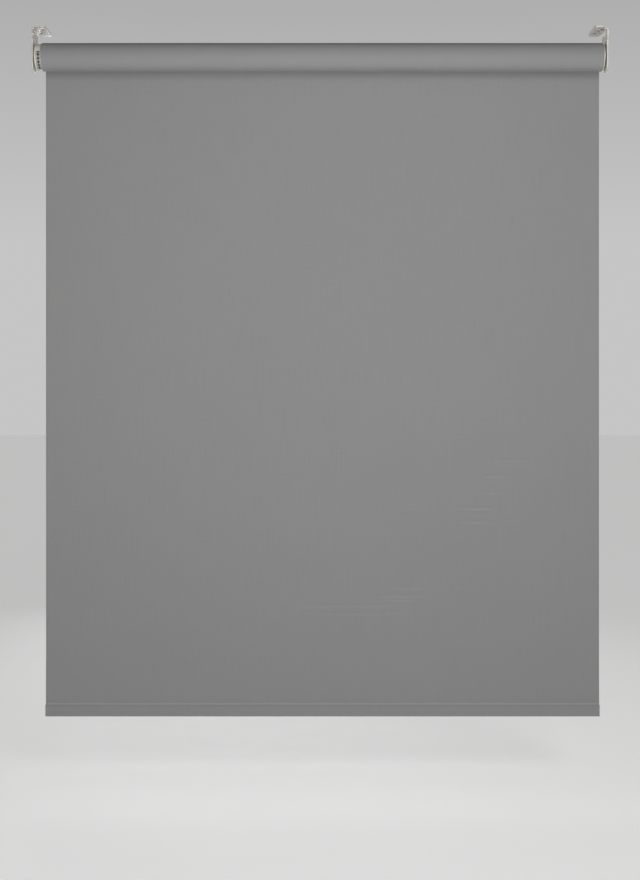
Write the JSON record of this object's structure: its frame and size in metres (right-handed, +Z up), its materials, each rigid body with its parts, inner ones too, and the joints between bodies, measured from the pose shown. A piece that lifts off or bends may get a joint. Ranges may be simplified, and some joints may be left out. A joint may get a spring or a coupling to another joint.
{
  "type": "roller blind",
  "caption": "Lowered roller blind: plain fabric hung from the back of its roll between two steel brackets, with a chain clutch, a sprung idle pin and a bar in the hem.",
  "frame": {"origin": "on the ceiling that the bracket feet are screwed to, midway between the brackets and above the roller's axis", "axes": "+X along the roller to the right, +Y away from the room, +Z up"},
  "size_m": [1, 0.064, 1.203],
  "materials": {
    "bracket_steel": "satin",
    "clutch_plastic": "satin",
    "spring_steel": "bare",
    "aluminium": "mill",
    "fabric": "plain weave",
    "cap_plastic": "satin"
  },
  "bodies": {
    "mount": {"left_bracket": "bracket_steel", "right_bracket": "bracket_steel", "clutch_core": "clutch_plastic", "chain_guard": "clutch_plastic", "core_washer": "spring_steel", "core_screw": "spring_steel", "idle_bush": "clutch_plastic", "bush_cap": "clutch_plastic", "idle_circlip": "spring_steel", "idle_spring": "spring_steel", "fabric_sheet": "fabric"},
    "chain_wheel": {"chain_wheel": "clutch_plastic", "wrap_spring_a": "spring_steel", "wrap_spring_b": "spring_steel"},
    "roller": {"roller_tube": "aluminium", "drive_sleeve": "clutch_plastic", "idle_plug": "clutch_plastic", "fabric_spline": "cap_plastic", "fabric_roll": "fabric"},
    "idle_pin": {"idle_pin": "spring_steel"},
    "hem": {"hem_pocket": "fabric", "bottom_bar": "aluminium", "bar_cap_left": "cap_plastic", "bar_cap_right": "cap_plastic"}
  },
  "joints": [
    {"name": "roller_turn", "type": "hinge", "parent": "mount", "child": "roller", "pos_m": [0, 0, -0.047], "axis": [1, 0, 0], "range_deg": [0, 2420]},
    {"name": "chain_wheel_turn", "type": "hinge", "parent": "mount", "child": "chain_wheel", "pos_m": [0, 0, -0.047], "axis": [1, 0, 0], "range_deg": [0, 2420]},
    {"name": "hem_lift", "type": "slide", "parent": "mount", "child": "hem", "axis": [0, 0, 1], "range_m": [0, 1.0984], "deforming": ["fabric_sheet"]},
    {"name": "idle_pin_slide", "type": "slide", "parent": "mount", "child": "idle_pin", "axis": [-1, 0, 0], "range_m": [0, 0.005], "stiffness_N_per_m": 600, "springref_m": -0.006, "deforming": ["idle_spring"]}
  ],
  "couplings": [
    {"joint": "chain_wheel_turn", "follows": "roller_turn", "ratio": 1},
    {"joint": "hem_lift", "follows": "roller_turn", "m_per_rad": 0.026}
  ]
}
